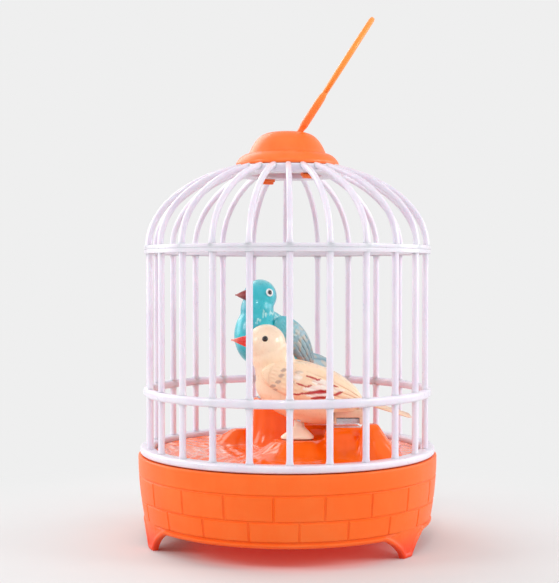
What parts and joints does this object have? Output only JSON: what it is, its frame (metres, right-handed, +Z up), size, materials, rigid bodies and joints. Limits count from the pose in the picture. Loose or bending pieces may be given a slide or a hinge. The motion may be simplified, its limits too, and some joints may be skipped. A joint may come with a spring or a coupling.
{
  "type": "electronic singing bird cage toy",
  "caption": "Round toy bird cage on a bowl base with brick relief, with two rocking birds, a domed top and a swinging carrying handle.",
  "frame": {"origin": "on the floor, under the middle of the cage", "axes": "+Z up, -Y towards the pictured front, +X to the right of it"},
  "size_m": [0.112, 0.112, 0.1974],
  "materials": {
    "orange_plastic": "moulded orange plastic, semi-gloss",
    "cage_plastic": "milky white plastic with a faint lavender tint",
    "cream_plastic": "cream plastic with hand-painted feathers",
    "teal_plastic": "teal plastic with painted feathers",
    "red_plastic": "red paint",
    "maroon_plastic": "dark red paint",
    "steel": "bright steel",
    "copper_wire": "enamelled copper wire",
    "black_plastic": "black plastic",
    "ferrite": "sintered ferrite",
    "cone_paper": "black paper",
    "board_green": "green solder mask",
    "cell_jacket": "printed film jacket, bare of text"
  },
  "bodies": {
    "cage": {"base_shell": "orange_plastic", "bottom_cover": "orange_plastic", "battery_door": "orange_plastic", "deck": "orange_plastic", "top_cap": "orange_plastic", "cage_side": "cage_plastic", "cage_dome": "cage_plastic", "cream_bird_leg": "cream_plastic", "blue_bird_leg": "teal_plastic", "cream_bird_pin": "steel", "blue_bird_pin": "steel", "handle_pin": "steel", "front_magnet_core": "steel", "back_magnet_core": "steel", "cage_screw_1": "steel", "cage_screw_2": "steel", "cage_screw_3": "steel", "cage_screw_4": "steel", "case_screw_1": "steel", "case_screw_2": "steel", "case_screw_3": "steel", "battery_door_screw": "steel", "board_screw_1": "steel", "board_screw_2": "steel", "speaker_frame": "steel", "microphone": "steel", "switch_body": "steel", "bridging_contact": "steel", "negative_contact": "steel", "positive_contact": "steel", "battery_spring_1": "steel", "battery_spring_2": "steel", "front_magnet_winding": "copper_wire", "back_magnet_winding": "copper_wire", "front_magnet_bobbin": "black_plastic", "back_magnet_bobbin": "black_plastic", "sound_chip": "black_plastic", "speaker_magnet": "ferrite", "speaker_cone": "cone_paper", "circuit_board": "board_green", "aa_cell_1": "cell_jacket", "aa_cell_2": "cell_jacket"},
    "handle": {"handle_loop": "orange_plastic"},
    "cream_bird": {"cream_bird_body": "cream_plastic", "cream_bird_wing_left": "cream_plastic", "cream_bird_wing_right": "cream_plastic", "cream_bird_tail": "cream_plastic", "cream_bird_beak": "red_plastic", "cream_bird_magnet_bar": "steel"},
    "blue_bird": {"blue_bird_body": "teal_plastic", "blue_bird_wing_left": "teal_plastic", "blue_bird_wing_right": "teal_plastic", "blue_bird_tail": "teal_plastic", "blue_bird_beak": "maroon_plastic", "blue_bird_magnet_bar": "steel"},
    "switch": {"switch_knob": "black_plastic"}
  },
  "joints": [
    {"name": "handle_swing", "type": "hinge", "parent": "cage", "child": "handle", "pos_m": [0, 0, 0.1461], "axis": [0.0558, -0.9984, 0], "range_deg": [0, 65.4]},
    {"name": "cream_bird_rock", "type": "hinge", "parent": "cage", "child": "cream_bird", "pos_m": [0.0043, -0.012, 0.0466], "axis": [0, 1, 0], "range_deg": [-3.5, 3.5], "stiffness_Nm_per_rad": 0.03},
    {"name": "blue_bird_rock", "type": "hinge", "parent": "cage", "child": "blue_bird", "pos_m": [-0.005, 0.0125, 0.0551], "axis": [-0.6691, 0.7431, 0], "range_deg": [-4, 4], "stiffness_Nm_per_rad": 0.03},
    {"name": "switch_slide", "type": "slide", "parent": "cage", "child": "switch", "axis": [0, 1, 0], "range_m": [0, 0.003]}
  ]
}
